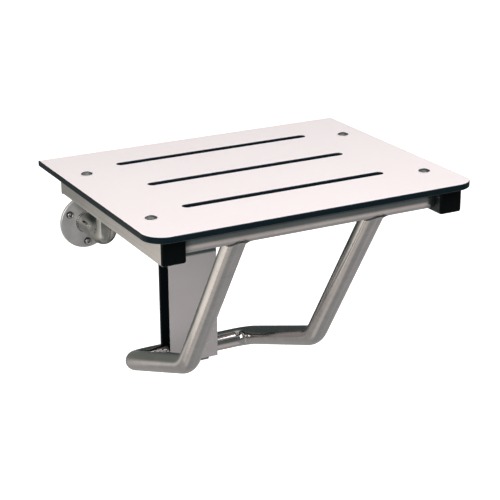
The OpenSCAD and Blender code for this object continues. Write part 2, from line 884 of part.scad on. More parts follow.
flange_left();
flange_right();
flange_screws();
wall_arm_left();
wall_arm_right();
pivot_cross_tube();
pivot_bushes();
guide_bracket();
guide_liner();
guide_screws();
retaining_spring();
spring_rivets();
stop_pad();
stop_rivets();
seat_core();
seat_face_top();
seat_face_bottom();
seat_screws();
rail_weld_nuts();
rail_left();
rail_right();
rail_rear_caps();
end_cap_left();
end_cap_right();
pivot_lugs();
pivot_pins();
front_bush_blocks();
front_thrust_washers();
front_crossbar();
front_pivot_pins();
leg_tube_left();
leg_tube_right();
slider_tube();
wear_sleeve();
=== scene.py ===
import math

import bpy
from mathutils import Matrix, Vector


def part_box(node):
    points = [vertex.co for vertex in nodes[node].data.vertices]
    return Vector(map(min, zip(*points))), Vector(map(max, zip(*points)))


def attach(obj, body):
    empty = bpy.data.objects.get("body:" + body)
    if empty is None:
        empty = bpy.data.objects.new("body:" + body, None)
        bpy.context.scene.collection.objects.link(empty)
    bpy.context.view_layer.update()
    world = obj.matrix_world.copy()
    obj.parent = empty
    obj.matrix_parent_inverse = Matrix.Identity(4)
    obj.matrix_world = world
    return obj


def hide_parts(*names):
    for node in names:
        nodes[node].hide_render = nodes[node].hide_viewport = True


MM = 0.001
SEAM_MERGE = 0.01 * MM

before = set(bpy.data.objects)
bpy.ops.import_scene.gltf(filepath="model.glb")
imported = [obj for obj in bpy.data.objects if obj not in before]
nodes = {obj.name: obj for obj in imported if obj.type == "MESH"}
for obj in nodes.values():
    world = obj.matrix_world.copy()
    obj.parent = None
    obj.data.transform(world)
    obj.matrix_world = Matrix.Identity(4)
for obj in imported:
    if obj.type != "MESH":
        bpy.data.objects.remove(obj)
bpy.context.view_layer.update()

# Tubes
TUBE_R = 12.7 * MM
BAR_R = 13 * MM
TUBE_WALL = 1.6 * MM
TUBE_SIDES = 72
BEND_FACET = 5
SADDLE_LAP = 0.3 * MM
NEARLY_ALONG = 0.9

# Wall arms and leg
ARM_BEND_R = 20 * MM
FLANGE_T = 4.8 * MM
ELBOW_Y = -221.8 * MM
ELBOW_Z = -145.2 * MM
ELBOW_R = 55 * MM
FOOT_R = 27 * MM

# End caps
CAP_SIZE = 31 * MM
CAP_HEAD_T = 3.5 * MM
CAP_CORNER_R = 3 * MM
CAP_EDGE_R = 2.2 * MM
CAP_BEVEL_SEGMENTS = 5
CAP_INSERT = 27 * MM
CAP_INSERT_DEPTH = 12 * MM

# Welds
STRUT_WELD_LEG = 9 * MM
ARM_WELD_LEG = 5 * MM
FLANGE_WELD_LEG = 3 * MM
WELD_CROWN = 0.25 * MM
SADDLE_CROWN = 1.1 * MM
SADDLE_NARROWING = 0.4
WELD_LAP = 0.4 * MM
WELD_RIPPLE = 0.12 * MM
WELD_RIPPLES = 30
WELD_SWAYS = 3
WELD_SIDES = 120
WELD_STEPS = 6

# Seat screws
SEAT_HEAD_R = 7.6 * MM
SEAT_HEAD_H = 2.6 * MM
SEAT_HEAD_RIM = 0.35 * MM
SEAT_SHANK_R = 3 * MM
SEAT_SHANK_L = 14.6 * MM
TURNED_STEPS = 64
DOME_STEPS = 10
BUTTON_STEPS = 8

# Flange screws
FLANGE_PCD_R = 28.6 * MM
FLANGE_SCREWS = 3
FLANGE_HEAD_R = 5.2 * MM
FLANGE_HEAD_H = 4.2 * MM
FLANGE_HEAD_RIM = 0.3 * MM
FLANGE_HEAD_SIDE = 1.3 * MM
FLANGE_HEAD_DRAFT = 0.02 * MM
FLANGE_ROUND_SHARE = 0.5
SCREW_NECK_R = 2.6 * MM
SOCKET_FLATS = 4.4 * MM
SOCKET_DEPTH = 2.1 * MM
# Faces of the heads that lean further than this from facing the room get painted shade
STEEP = 0.82

# Where finishes and painted shade change
FOOT_TOP = -206 * MM
WEAR_FADE = 12 * MM
# Painted shade at the crossbar's ends, beside the rails
BAR_SHADE_SPAN = (164 * MM, 179 * MM)
# Painted shade on the rails' inner sides
INNER_SIDE = (-120 * MM, -60 * MM)
GUIDE_FACE_TOP = -66 * MM
GUIDE_SHADE_FADE = 3.5 * MM
FLANGE_SHADE = (12 * MM, 34 * MM)
FLANGE_SHADE_SWAY = 12 * MM
LYING_FLAT = (0.8, 0.95)


def middle(node):
    """The middle of a CAD node's box."""
    low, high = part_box(node)
    return (low + high) / 2


bar_centre = middle("front_crossbar")
pivot_centre = middle("pivot_cross_tube")
foot_centre = middle("slider_tube")
leg_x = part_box("leg_tube_right")[1].x - TUBE_R
foot_end_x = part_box("leg_tube_right")[0].x
arm_x = middle("flange_right").x


# Shader maths

class Value:
    """The output of a node, which can be used in a Python expression."""

    def __init__(self, finish, socket):
        self.finish = finish
        self.socket = socket

    def maths(self, operation, *values):
        return self.finish.node("ShaderNodeMath", {"operation": operation},
                                dict(enumerate(values)))

    def __add__(self, other):
        return self.maths("ADD", self, other)

    __radd__ = __add__

    def __sub__(self, other):
        return self.maths("SUBTRACT", self, other)

    def __rsub__(self, other):
        return self.maths("SUBTRACT", other, self)

    def __mul__(self, other):
        return self.maths("MULTIPLY", self, other)

    __rmul__ = __mul__

    def least(self, other):
        return self.maths("MINIMUM", self, other)

    def size(self):
        return self.maths("ABSOLUTE", self)


class Nodes:
    """A node tree that is built from Python expressions."""

    def __init__(self, tree):
        self.tree = tree

    def node(self, kind, settings=None, inputs=None, output=0):
        """Any node: its settings first, then its sockets by name or number."""
        made = self.tree.nodes.new(kind)
        for name, value in (settings or {}).items():
            if name == "stops":
                self.set_stops(made.color_ramp, value)
            else:
                setattr(made, name, value)
        for name, value in (inputs or {}).items():
            self.feed(made.inputs[name], value)
        return Value(self, made.outputs[output])

    def feed(self, socket, value):
        if isinstance(value, Value):
            self.tree.links.new(value.socket, socket)
        else:
            socket.default_value = value

    def set_stops(self, ramp, stops):
        for place, colour in stops[2:]:
            ramp.elements.new(place)
        for element, (place, colour) in zip(ramp.elements, stops):
            element.position = place
            element.color = colour

    def part(self, vector, axis):
        """One coordinate of a vector."""
        return self.node("ShaderNodeSeparateXYZ", inputs={0: vector}, output=axis)

    def blend(self, mask, first, second):
        return self.node("ShaderNodeMix", {"data_type": "RGBA"},
                         {0: mask, 6: first, 7: second}, output=2)

    def between(self, value, low, high, start=0.0, end=1.0, smooth=False):
        """Value from low to high, carried over to start to end."""
        return self.node("ShaderNodeMapRange",
                         {"interpolation_type": "SMOOTHSTEP" if smooth else "LINEAR"},
                         {"Value": value, "From Min": low, "From Max": high,
                          "To Min": start, "To Max": end})


# What a noise mostly lies between, and two narrower spans that give more contrast
NOISE_SPAN = (0.3, 0.7)
STRONG_SPAN = (0.35, 0.65)
SHARP_SPAN = (0.4, 0.6)


class Finish(Nodes):
    """A material, built from nodes on its Principled shader."""

    def __init__(self, name, **constants):
        self.material = bpy.data.materials.new(name)
        self.material.use_nodes = True
        super().__init__(self.material.node_tree)
        self.shader = self.tree.nodes["Principled BSDF"]
        self.surface(**constants)

    def place(self):
        return self.node("ShaderNodeTexCoord", output="Object")

    def along(self, axis):
        """The place along an axis."""
        return self.part(self.place(), axis)

    def facing(self, axis):
        """How much the surface faces along an axis."""
        return self.part(self.node("ShaderNodeTexCoord", output="Normal"), axis)

    def along_tube(self):
        """The place on a bent tube, as if the tube were straight along Z."""
        return self.node("ShaderNodeAttribute", {"attribute_name": "along_tube"},
                         output="Vector")

    def noise(self, scale, stretch=(1, 1, 1), place=None, detail=3.0, roughness=0.55):
        """Noise whose pattern runs long on an axis where the stretch is small."""
        stretched = self.node("ShaderNodeMapping", inputs={
            "Vector": place or self.place(), "Scale": stretch})
        return self.node("ShaderNodeTexNoise", inputs={
            "Vector": stretched, "Scale": scale, "Detail": detail, "Roughness": roughness})

    def rough(self, noise, shiniest, dullest):
        """A roughness that follows a noise."""
        return self.between(noise, *NOISE_SPAN, shiniest, dullest)

    def bump(self, height, strength, distance):
        return self.node("ShaderNodeBump", inputs={
            "Height": height, "Strength": strength, "Distance": distance})

    def surface(self, **sockets):
        for name, value in sockets.items():
            self.feed(self.shader.inputs[name.replace("_", " ")], value)
        return self.material


def rgb(red, green, blue):
    return (red, green, blue, 1.0)


def shade(colour, share):
    return rgb(*(part * share for part in colour[:3]))


# Colours

STEEL = rgb(0.66, 0.625, 0.60)
ARM_STEEL = rgb(0.46, 0.46, 0.425)
# Painted shade at the crossbar's ends and on the rails' inner sides
SHADED_STEEL = rgb(0.13, 0.15, 0.15)
POLISHED_STEEL = rgb(0.78, 0.77, 0.76)
SCREW_STEEL = rgb(0.58, 0.58, 0.57)
# Painted shade over the bracket's top fold
BRACKET_BEND_SHADE = rgb(0.10, 0.13, 0.13)
# Painted shade on the flanges' upper inner parts
FLANGE_SHADE_TONE = rgb(0.12, 0.15, 0.15)
CORE_BLACK = rgb(0.002, 0.006, 0.008)
WHITE = rgb(1, 1, 1)

# The two tones that a cloudy finish goes between
BRACKET_TONES = (rgb(0.76, 0.69, 0.69), rgb(0.84, 0.77, 0.77))
FLANGE_TONES = (rgb(0.62, 0.60, 0.59), rgb(0.76, 0.72, 0.70))
# Painted shade on the screws' steep sides and sockets
SCREW_SHADE_TONES = (rgb(0.012, 0.017, 0.018), rgb(0.04, 0.05, 0.05))
WELD_TONES = (rgb(0.035, 0.05, 0.05), rgb(0.20, 0.20, 0.185))
FACE_TONES = (rgb(0.86, 0.775, 0.77), rgb(0.885, 0.81, 0.805))
UNDERSIDE_TONES = (rgb(0.10, 0.115, 0.115), rgb(0.13, 0.15, 0.15))
CORE_TONES = (CORE_BLACK, rgb(0.006, 0.019, 0.026))
CAP_TONES = (rgb(0.0008, 0.0016, 0.0014), rgb(0.0014, 0.003, 0.0035))
LINER_TONES = (rgb(0.004, 0.0065, 0.008), rgb(0.005, 0.008, 0.010))
DARK_NYLON_TONES = (rgb(0.02, 0.024, 0.024), rgb(0.03, 0.036, 0.036))
WHITE_NYLON_TONES = (rgb(0.7, 0.68, 0.62), rgb(0.78, 0.76, 0.7))

# The shiniest and the dullest roughness of each finish
SATIN_ROUGH = (0.14, 0.24)
ARM_ROUGH = (0.10, 0.2)
BRACKET_ROUGH = (0.38, 0.52)
FLANGE_ROUGH = (0.3, 0.42)
SOCKET_ROUGH = (0.3, 0.45)
POLISHED_ROUGH = (0.08, 0.16)
WELD_ROUGH = (0.3, 0.5)
FACE_ROUGH = (0.5, 0.62)
UNDERSIDE_ROUGH = (0.45, 0.6)
CORE_ROUGH = (0.26, 0.42)
PLASTIC_ROUGH = (0.32, 0.46)

# How fine the patterns are: the scale of their noise
CLOUDS = 16
STAINS = 24
MOTTLE = 45
SPOTS = 110
HEAT_TINT = 160
BRUSH_MARKS = 260
STREAKS = 380
WEAR = 400
LAYERS = 500
FINE_WEAR = 600
BLAST_GRAIN = 900
FINE_BLAST_GRAIN = 1400
MOULD_GRAIN = 1500
SHEET_GRAIN = 1800
DECOR_CLOUDS = 9
DECOR_GRAIN = 2600

# Shares of a colour or roughness
DULL_SHARE = 0.84
WEAR_SHARE = 0.85
WORN_SHARE = 0.4

# How a brushed finish stretches its streaks
ALONG_X = (0.02, 1, 1)
ALONG_Y = (1, 0.02, 1)
ALONG_TUBE = (1, 1, 0.02)
LONG_GRAIN = (1, 1, 0.3)


# Finishes

def bar_end_shade(steel):
    """1 at the ends of the crossbar, which get painted shade next to the rails."""
    return steel.between(steel.along("X").size(), *BAR_SHADE_SPAN, smooth=True)


def rail_inner_shade(steel):
    """1 on the sides of the rails that face the seat's middle, which get painted shade."""
    return steel.between(steel.facing("X") * steel.along("X"), *INNER_SIDE, 1.0, 0.0)


def satin_steel(name, stretch, rough=SATIN_ROUGH, colour=STEEL, on_tube=False, painted_shade=None):
    """Satin stainless steel, whose fine streaks run along the axis with the small stretch. It is
    polished by wear down at the sliding foot, and darkened by painted shade where the painted
    shade's share is 1."""
    steel = Finish(name, Metallic=1.0)
    place = steel.along_tube() if on_tube else steel.place()
    streaks = steel.noise(STREAKS, stretch, place, detail=2.0, roughness=0.6)
    stains = steel.noise(STAINS, place=place, detail=4.0)
    spots = steel.noise(SPOTS, place=place, detail=5.0, roughness=0.7)
    brushed = steel.noise(BRUSH_MARKS, stretch, place, detail=3.0)
    worn = steel.between(steel.along("Z"), FOOT_TOP, FOOT_TOP + WEAR_FADE, WORN_SHARE, 1.0)
    dull = steel.between(spots * 0.3 + stains * 0.3 + brushed * 0.4, *SHARP_SPAN)
    face = steel.blend(dull, shade(colour, DULL_SHARE), colour)
    if painted_shade:
        face = steel.blend(painted_shade(steel), face, SHADED_STEEL)
    return steel.surface(
        Base_Color=face,
        Roughness=steel.between(stains * 0.5 + streaks * 0.5, *STRONG_SPAN, *rough) * worn,
        Normal=steel.bump(streaks, strength=0.03, distance=0.01 * MM))


def bracket_steel():
    """Dull blasted sheet, with painted shade over the fold at its top."""
    sheet = Finish("bracket_steel", Metallic=0.2)
    grain = sheet.noise(FINE_BLAST_GRAIN, LONG_GRAIN, detail=3.0)
    cloud = sheet.noise(CLOUDS, detail=4.0)
    # Painted shade over the fold at the top of the face
    bend_shade = sheet.between(sheet.along("Z"), GUIDE_FACE_TOP - GUIDE_SHADE_FADE, GUIDE_FACE_TOP,
                         smooth=True)
    return sheet.surface(
        Base_Color=sheet.blend(bend_shade, sheet.blend(cloud, *BRACKET_TONES), BRACKET_BEND_SHADE),
        Roughness=sheet.rough(grain, *BRACKET_ROUGH),
        Normal=sheet.bump(grain, strength=0.15, distance=0.03 * MM))


def flange_steel():
    """Dull mottled steel, with painted shade towards the seat's middle and the top."""
    plate = Finish("flange_steel", Metallic=0.5)
    grain = plate.noise(BLAST_GRAIN, detail=4.0)
    mottle = plate.noise(MOTTLE, detail=5.0, roughness=0.65)
    inward = plate.along("Z") + (arm_x - plate.along("X").size())
    # Painted shade, whose edge sways with the mottle
    dark = plate.between(inward + mottle * FLANGE_SHADE_SWAY, *FLANGE_SHADE, smooth=True)
    face = plate.blend(plate.between(mottle, *STRONG_SPAN), *FLANGE_TONES)
    return plate.surface(
        Base_Color=plate.blend(dark, face, FLANGE_SHADE_TONE),
        Roughness=plate.rough(grain, *FLANGE_ROUGH),
        Normal=plate.bump(grain, strength=0.15, distance=0.03 * MM))


def screw_shade_steel():
    """Painted shade on the steep sides and sockets of small screws."""
    steel = Finish("screw_shade_steel", Metallic=0.7)
    wear = steel.noise(FINE_WEAR, detail=3.0)
    return steel.surface(
        Base_Color=steel.blend(wear, *SCREW_SHADE_TONES),
        Roughness=steel.rough(wear, *SOCKET_ROUGH))


def polished_steel(name, colour):
    steel = Finish(name, Metallic=1.0)
    wear = steel.noise(WEAR, detail=4.0)
    return steel.surface(
        Base_Color=steel.blend(wear, shade(colour, WEAR_SHARE), colour),
        Roughness=steel.rough(wear, *POLISHED_ROUGH),
        Normal=steel.bump(wear, strength=0.05, distance=0.02 * MM))


def weld_steel():
    steel = Finish("weld_steel", Metallic=0.9)
    heat = steel.noise(HEAT_TINT, detail=4.0)
    return steel.surface(
        Base_Color=steel.blend(steel.between(heat, *STRONG_SPAN), *WELD_TONES),
        Roughness=steel.rough(heat, *WELD_ROUGH),
        Normal=steel.bump(heat, strength=0.2, distance=0.1 * MM))


def laminate_face():
    """A pale decor sheet, whose cut edges are as black as the core."""
    face = Finish("laminate_face", Specular_IOR_Level=0.35)
    grain = face.noise(DECOR_GRAIN, detail=2.0)
    pale = face.blend(face.noise(DECOR_CLOUDS, detail=3.0), *FACE_TONES)
    lying = face.between(face.facing("Z").size(), *LYING_FLAT)
    return face.surface(
        Base_Color=face.blend(lying, CORE_BLACK, pale),
        Roughness=face.rough(grain, *FACE_ROUGH),
        Normal=face.bump(grain, strength=0.15, distance=0.04 * MM))


def plate_underside():
    """The plate's underside, coloured dark grey."""
    sheet = Finish("plate_underside", Specular_IOR_Level=0.3)
    grain = sheet.noise(SHEET_GRAIN, detail=2.0)
    return sheet.surface(
        Base_Color=sheet.blend(grain, *UNDERSIDE_TONES),
        Roughness=sheet.rough(grain, *UNDERSIDE_ROUGH),
        Normal=sheet.bump(grain, strength=0.15, distance=0.04 * MM))


def laminate_core():
    """The pressed sheets inside the plate, in thin layers."""
    core = Finish("laminate_core", Specular_IOR_Level=0.1)
    layers = core.noise(LAYERS, stretch=(0.05, 0.05, 8), detail=3.0)
    return core.surface(
        Base_Color=core.blend(layers, *CORE_TONES),
        Roughness=core.rough(layers, *CORE_ROUGH),
        Normal=core.bump(layers, strength=0.1, distance=0.05 * MM))


def moulded(name, tones, gloss=0.25):
    """Moulded plastic with a fine grain."""
    plastic = Finish(name, Specular_IOR_Level=gloss)
    grain = plastic.noise(MOULD_GRAIN, detail=2.0)
    return plastic.surface(
        Base_Color=plastic.blend(grain, *tones),
        Roughness=plastic.rough(grain, *PLASTIC_ROUGH),
        Normal=plastic.bump(grain, strength=0.2, distance=0.05 * MM))


steel_along_x = satin_steel("steel_along_x", ALONG_X)
steel_along_y = satin_steel("steel_along_y", ALONG_Y)
bar_steel = satin_steel("bar_steel", ALONG_X, painted_shade=bar_end_shade)
rail_steel = satin_steel("rail_steel", ALONG_Y, painted_shade=rail_inner_shade)
steel_tube = satin_steel("steel_tube", ALONG_TUBE, on_tube=True)
arm_tube = satin_steel("arm_tube", LONG_GRAIN, ARM_ROUGH, ARM_STEEL, on_tube=True)
polished = polished_steel("polished_steel", POLISHED_STEEL)
screw_steel = polished_steel("screw_steel", SCREW_STEEL)
weld = weld_steel()
black_plastic = moulded("black_plastic", CAP_TONES, gloss=0.08)
liner_plastic = moulded("liner_plastic", LINER_TONES, gloss=0.08)
dark_nylon = moulded("dark_nylon", DARK_NYLON_TONES)
white_nylon = moulded("nylon", WHITE_NYLON_TONES)


def dress(material, *names):
    """Gives CAD nodes their material."""
    for name in names:
        mesh = nodes[name].data
        mesh.materials.clear()
        mesh.materials.append(material)


dress(bar_steel, "front_crossbar")
dress(rail_steel, "rail_left", "rail_right")
dress(steel_along_x, "pivot_cross_tube", "slider_tube")
dress(steel_along_y, "pivot_lugs", "rail_rear_caps", "rail_weld_nuts")
dress(bracket_steel(), "guide_bracket")
dress(flange_steel(), "flange_left", "flange_right")
dress(polished, "retaining_spring", "spring_rivets", "stop_rivets", "pivot_pins",
      "front_pivot_pins")
dress(laminate_face(), "seat_face_top")
dress(plate_underside(), "seat_face_bottom")
dress(laminate_core(), "seat_core")
dress(black_plastic, "end_cap_left", "end_cap_right", "stop_pad", "wear_sleeve")
dress(liner_plastic, "guide_liner")
dress(white_nylon, "pivot_bushes", "front_bush_blocks")
dress(dark_nylon, "front_thrust_washers")


# Making pieces

def deselect():
    bpy.ops.object.select_all(action="DESELECT")


def select_only(piece):
    deselect()
    piece.select_set(True)
    bpy.context.view_layer.objects.active = piece


def apply_place(piece):
    """The object goes to the origin, unturned, and its place goes into its mesh."""
    select_only(piece)
    bpy.ops.object.transform_apply(location=True, rotation=True, scale=True)


def apply_modifiers(piece):
    bpy.context.view_layer.objects.active = piece
    for modifier in list(piece.modifiers):
        bpy.ops.object.modifier_apply(modifier=modifier.name)


def recalculate_normals(piece):
    """Merges the points of a seam and makes all faces point outwards."""
    select_only(piece)
    bpy.ops.object.mode_set(mode="EDIT")
    bpy.ops.mesh.select_all(action="SELECT")
    bpy.ops.mesh.remove_doubles(threshold=SEAM_MERGE)
    bpy.ops.mesh.normals_make_consistent(inside=False)
    bpy.ops.object.mode_set(mode="OBJECT")


def finish_piece(piece, name, material, body, replaced=(), smooth_angle=35):
    """Names a piece, gives it its material and makes it ride on its body."""
    piece.name = piece.data.name = name
    piece.data.materials.clear()
    piece.data.materials.append(material)
    select_only(piece)
    bpy.ops.object.shade_smooth_by_angle(angle=math.radians(smooth_angle))
    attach(piece, body)
    if replaced:
        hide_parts(*replaced)
    return piece


def along(axis, across=Vector((1, 0, 0))):
    """The turn that carries +Z to the axis and +X to across."""
    z = Vector(axis).normalized()
    x = Vector(across).normalized()
    return Matrix((x, z.cross(x), z)).transposed().to_4x4()


def saddle(across, radius):
    """How far a tube's end stands from the centre line of the round bar that it is coped to."""
    return math.sqrt(radius ** 2 - across ** 2)


# Bent tubes

def bent_tube(name, corners, bend_radii, material, body, replaced, coped):
    """A tube along straight runs between corners, bent at the inner ones. The end that coped
    names, "start" or "end", is cut to sit on a round tube along X."""
    deselect()
    start, heading = corners[0], (corners[1] - corners[0]).normalized()
    bpy.ops.mesh.primitive_circle_add(
        vertices=TUBE_SIDES, radius=TUBE_R, location=start,
        rotation=along(heading, side_of(heading)).to_euler())
    tube = bpy.context.object
    apply_place(tube)
    rings = [0.0]
    bpy.ops.object.mode_set(mode="EDIT")
    bpy.ops.mesh.select_all(action="SELECT")
    here = start
    for i, radius in enumerate(bend_radii):
        corner = corners[i + 1]
        onward = (corners[i + 2] - corner).normalized()
        angle = heading.angle(onward)
        setback = radius * math.tan(angle / 2)
        bend_start = corner - heading * setback
        inward = (onward - heading * heading.dot(onward)).normalized()
        bpy.ops.mesh.extrude_region_move(TRANSFORM_OT_translate={"value": bend_start - here})
        rings.append(rings[-1] + (bend_start - here).length)
        steps = math.ceil(math.degrees(angle) / BEND_FACET)
        bpy.ops.mesh.spin(steps=steps, angle=-angle, center=bend_start + inward * radius,
                          axis=heading.cross(onward))
        rings += [rings[-1] + radius * angle * (step + 1) / steps for step in range(steps)]
        here = corner + onward * setback
        heading = onward
    bpy.ops.mesh.extrude_region_move(TRANSFORM_OT_translate={"value": corners[-1] - here})
    rings.append(rings[-1] + (corners[-1] - here).length)
    bpy.ops.object.mode_set(mode="OBJECT")
    mark_along(tube, rings)
    cope(tube, coped, corners)
    wall = tube.modifiers.new("wall", "SOLIDIFY")
    wall.thickness = TUBE_WALL
    wall.offset = -1
    apply_modifiers(tube)
    return finish_piece(tube, name, material, body, replaced)


def side_of(heading):
    """A direction square to the heading: along X, or along Y for a run along X."""
    return Vector((0, 1, 0)) if abs(heading.x) > NEARLY_ALONG else Vector((1, 0, 0))


def mark_along(tube, rings):
    """Stores on each point where it would be if the tube were straight along Z."""
    mark = tube.data.attributes.new("along_tube", "FLOAT_VECTOR", "POINT")
    for i, point in enumerate(mark.data):
        turn = 2 * math.pi * (i % TUBE_SIDES) / TUBE_SIDES
        point.vector = (TUBE_R * math.cos(turn), TUBE_R * math.sin(turn),
                        rings[i // TUBE_SIDES])


def cope(tube, end, corners):
    """Moves the end ring's points on to the round tube along X that the end meets."""
    points = tube.data.vertices
    if end == "start":
        ring = points[:TUBE_SIDES]
        axis = (corners[1] - corners[0]).normalized()
        centre = corners[0]
    else:
        ring = points[len(points) - TUBE_SIDES:]
        axis = (corners[-2] - corners[-1]).normalized()
        centre = corners[-1]
    across = axis.cross(Vector((1, 0, 0)))
    for point in ring:
        point.co += axis * (saddle((point.co - centre).dot(across), BAR_R) - SADDLE_LAP)


def leg_tube(name, side, node):
    """From the crossbar down over the elbow to the wall, and inwards along the foot bar."""
    x = side * leg_x
    top = Vector((x, bar_centre.y, bar_centre.z))
    elbow = Vector((x, ELBOW_Y, ELBOW_Z))
    foot = Vector((x, foot_centre.y, foot_centre.z))
    end = Vector((side * foot_end_x, foot_centre.y, foot_centre.z))
    return bent_tube(name, [top, elbow, foot, end], [ELBOW_R, FOOT_R], steel_tube, "leg",
                     [node], "start")


def wall_arm(name, side, node):
    """From the flange out of the wall and up to the cross tube."""
    x = side * arm_x
    foot = Vector((x, -FLANGE_T, 0))
    corner = Vector((x, pivot_centre.y, 0))
    top = Vector((x, pivot_centre.y, pivot_centre.z))
    return bent_tube(name, [foot, corner, top], [ARM_BEND_R], arm_tube, "wall_mount",
                     [node], "end")


# Welds

def weld_ring(name, centre, axis, body, weld_leg, crown, narrowing, corner, toe):
    """A weld round a tube. The corner and the toe are functions of the turn round the tube
    that give where the tube meets the other piece and where the weld ends on it."""
    deselect()
    bpy.ops.mesh.primitive_circle_add(vertices=WELD_SIDES, radius=TUBE_R)
    ring = bpy.context.object
    bpy.ops.object.mode_set(mode="EDIT")
    bpy.ops.mesh.select_all(action="SELECT")
    for step in range(WELD_STEPS + 2):
        bpy.ops.mesh.extrude_region_move(TRANSFORM_OT_translate={"value": (0, 0, weld_leg)})
    bpy.ops.object.mode_set(mode="OBJECT")
    for i, point in enumerate(ring.data.vertices):
        step, side = divmod(i, WELD_SIDES)
        turn = 2 * math.pi * side / WELD_SIDES
        out = Vector((math.cos(turn), math.sin(turn), 0))
        ripple = WELD_RIPPLE * math.sin(WELD_RIPPLES * turn + math.sin(WELD_SWAYS * turn))
        root = out * TUBE_R + Vector((0, 0, corner(turn)))
        leg = weld_leg * (1 - narrowing * math.sin(turn) ** 2) + ripple
        start = root + Vector((0, 0, leg))
        end = toe(turn, leg)
        share = step / WELD_STEPS
        if step <= WELD_STEPS:
            point.co = (start * (1 - share) ** 2 + root * 2 * share * (1 - share)
                        + end * share ** 2)
            swell = (start - root + end - root).normalized()
            point.co += swell * (crown + ripple) * math.sin(math.pi * share)
        elif step == WELD_STEPS + 1:
            point.co = root - out * WELD_LAP - Vector((0, 0, WELD_LAP))
        else:
            point.co = start
    recalculate_normals(ring)
    ring.matrix_world = Matrix.Translation(centre) @ along(axis)
    apply_place(ring)
    return finish_piece(ring, name, weld, body, smooth_angle=60)


def saddle_weld(name, centre, axis, body, weld_leg):
    """The weld where a tube along the axis is coped to a round tube along X."""

    def corner(turn):
        return saddle(TUBE_R * math.sin(turn), BAR_R)

    def toe(turn, leg):
        round_bar = math.asin(TUBE_R * math.sin(turn) / BAR_R) + leg * math.sin(turn) / BAR_R
        return Vector(((TUBE_R + leg) * math.cos(turn), BAR_R * math.sin(round_bar),
                       BAR_R * math.cos(round_bar)))

    return weld_ring(name, centre, axis, body, weld_leg, SADDLE_CROWN, SADDLE_NARROWING, corner,
                     toe)


def plate_weld(name, centre, axis, body, weld_leg):
    """The weld round a tube that stands on a flat plate."""

    def corner(turn):
        return 0.0

    def toe(turn, leg):
        return Vector((math.cos(turn), math.sin(turn), 0)) * (TUBE_R + leg)

    return weld_ring(name, centre, axis, body, weld_leg, WELD_CROWN, 0, corner, toe)


# Screws

def turned(outline):
    """A piece turned about Z from an outline of (radius, height) points."""
    deselect()
    bpy.ops.mesh.primitive_plane_add(size=1 * MM)
    piece = bpy.context.object
    bpy.ops.object.mode_set(mode="EDIT")
    bpy.ops.mesh.select_all(action="SELECT")
    bpy.ops.mesh.merge(type="CENTER")
    radius, height = outline[0]
    bpy.ops.transform.translate(value=(radius, 0, height))
    for (r0, z0), (r1, z1) in zip(outline, outline[1:]):
        bpy.ops.mesh.extrude_region_move(
            TRANSFORM_OT_translate={"value": (r1 - r0, 0, z1 - z0)})
    bpy.ops.mesh.select_all(action="SELECT")
    bpy.ops.mesh.spin(steps=TURNED_STEPS, angle=2 * math.pi, center=(0, 0, 0), axis=(0, 0, 1))
    bpy.ops.object.mode_set(mode="OBJECT")
    recalculate_normals(piece)
    return piece


def dome_outline(radius, height):
    """The outline of a low dome from its rim to its top."""
    ball = (radius ** 2 + height ** 2) / (2 * height)
    edge = math.asin(radius / ball)
    tilts = [edge * (1 - i / DOME_STEPS) for i in range(DOME_STEPS)]
    outline = [(ball * math.sin(tilt), height - ball + ball * math.cos(tilt)) for tilt in tilts]
    return outline + [(0, height)]


def cut_socket(piece, top, depth):
    """Cuts a hexagon socket into the head."""
    deselect()
    bpy.ops.mesh.primitive_cylinder_add(
        vertices=6, radius=SOCKET_FLATS / math.sqrt(3), depth=2 * depth,
        location=(0, 0, top))
    key = bpy.context.object
    cut = piece.modifiers.new("socket", "BOOLEAN")
    cut.operation = "DIFFERENCE"
    cut.object = key
    apply_modifiers(piece)
    bpy.data.objects.remove(key)


def placed_copies(piece, places, axis):
    """One object with a copy of the piece at each place, its +Z turned to the axis."""
    copies = []
    for place in places:
        copy = piece.copy()
        copy.data = piece.data.copy()
        bpy.context.scene.collection.objects.link(copy)
        copy.matrix_world = Matrix.Translation(place) @ along(axis)
        copies.append(copy)
    bpy.data.objects.remove(piece)
    deselect()
    for copy in copies:
        copy.select_set(True)
    bpy.context.view_layer.objects.active = copies[0]
    bpy.ops.object.transform_apply(location=True, rotation=True, scale=True)
    bpy.ops.object.join()
    return bpy.context.object


def seat_screws():
    """Four low domed heads on the plate, with their shanks down to the nuts."""
    low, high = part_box("seat_screws")
    outline = [(0, -SEAT_SHANK_L), (SEAT_SHANK_R, -SEAT_SHANK_L), (SEAT_SHANK_R, 0),
               (SEAT_HEAD_R - SEAT_HEAD_RIM, 0), (SEAT_HEAD_R, SEAT_HEAD_RIM)]
    dome = dome_outline(SEAT_HEAD_R - SEAT_HEAD_RIM / 2, SEAT_HEAD_H - SEAT_HEAD_RIM)
    outline += [(r, z + SEAT_HEAD_RIM) for r, z in dome]
    screw = turned(outline)
    top = high.z - SEAT_HEAD_H
    places = [Vector((x, y, top))
              for x in (low.x + SEAT_HEAD_R, high.x - SEAT_HEAD_R)
              for y in (low.y + SEAT_HEAD_R, high.y - SEAT_HEAD_R)]
    return finish_piece(placed_copies(screw, places, (0, 0, 1)), "domed_seat_screws", screw_steel,
                        "seat", ["seat_screws"])


def button_outline():
    """The outline of a button head from its rim to its flat top."""
    shares = [i / BUTTON_STEPS for i in range(1, BUTTON_STEPS + 1)]
    crown = FLANGE_HEAD_H - FLANGE_HEAD_SIDE
    return [(FLANGE_HEAD_R * (1 - FLANGE_ROUND_SHARE * share ** 2) - FLANGE_HEAD_DRAFT,
             FLANGE_HEAD_SIDE + crown * math.sin(math.pi / 2 * share)) for share in shares]


